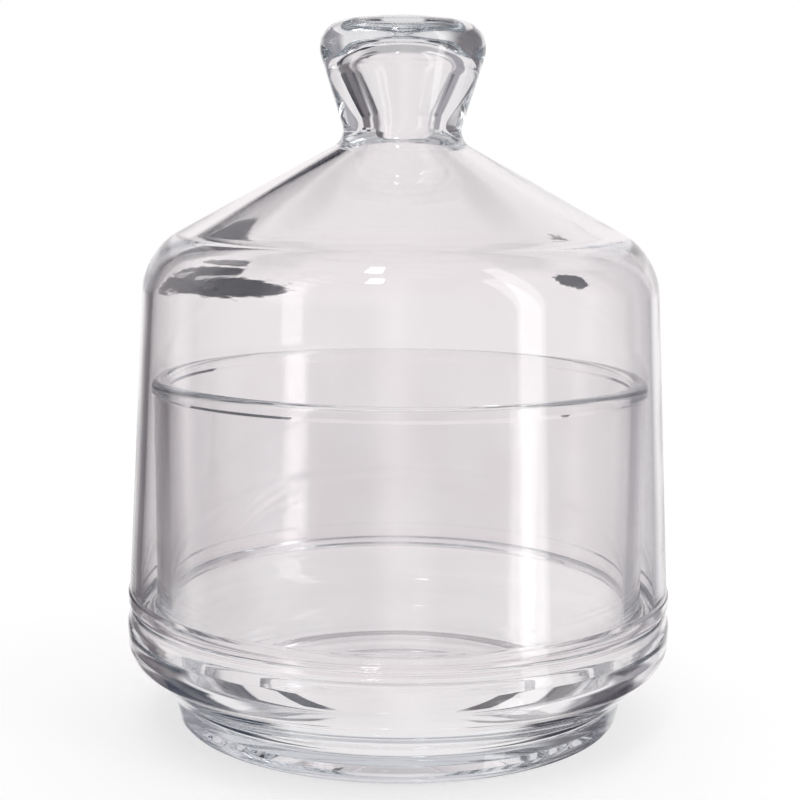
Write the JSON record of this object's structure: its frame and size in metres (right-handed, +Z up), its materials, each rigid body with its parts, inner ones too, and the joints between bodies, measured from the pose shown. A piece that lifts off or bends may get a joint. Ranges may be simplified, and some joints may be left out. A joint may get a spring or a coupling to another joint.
{
  "type": "covered glass jar",
  "caption": "Clear glass dish on a low foot with a tall round collar, and a tall bell lid with a hollow knob that drops over the collar.",
  "frame": {"origin": "on the axis of both pieces, on the plane that the foot rests on", "axes": "+Z up along the axis of both pieces, from the foot to the knob; the shape is turned, so X and Y are free"},
  "size_m": [0.144, 0.144, 0.184],
  "materials": {
    "dish_glass": "clear fire-polished glass",
    "lid_glass": "clear fire-polished glass"
  },
  "bodies": {
    "dish": {"dish": "dish_glass"},
    "lid": {"lid": "lid_glass"}
  },
  "joints": [
    {"name": "lid_lift", "type": "slide", "parent": "dish", "child": "lid", "axis": [0, 0, 1], "range_m": [0, 0.13]}
  ]
}
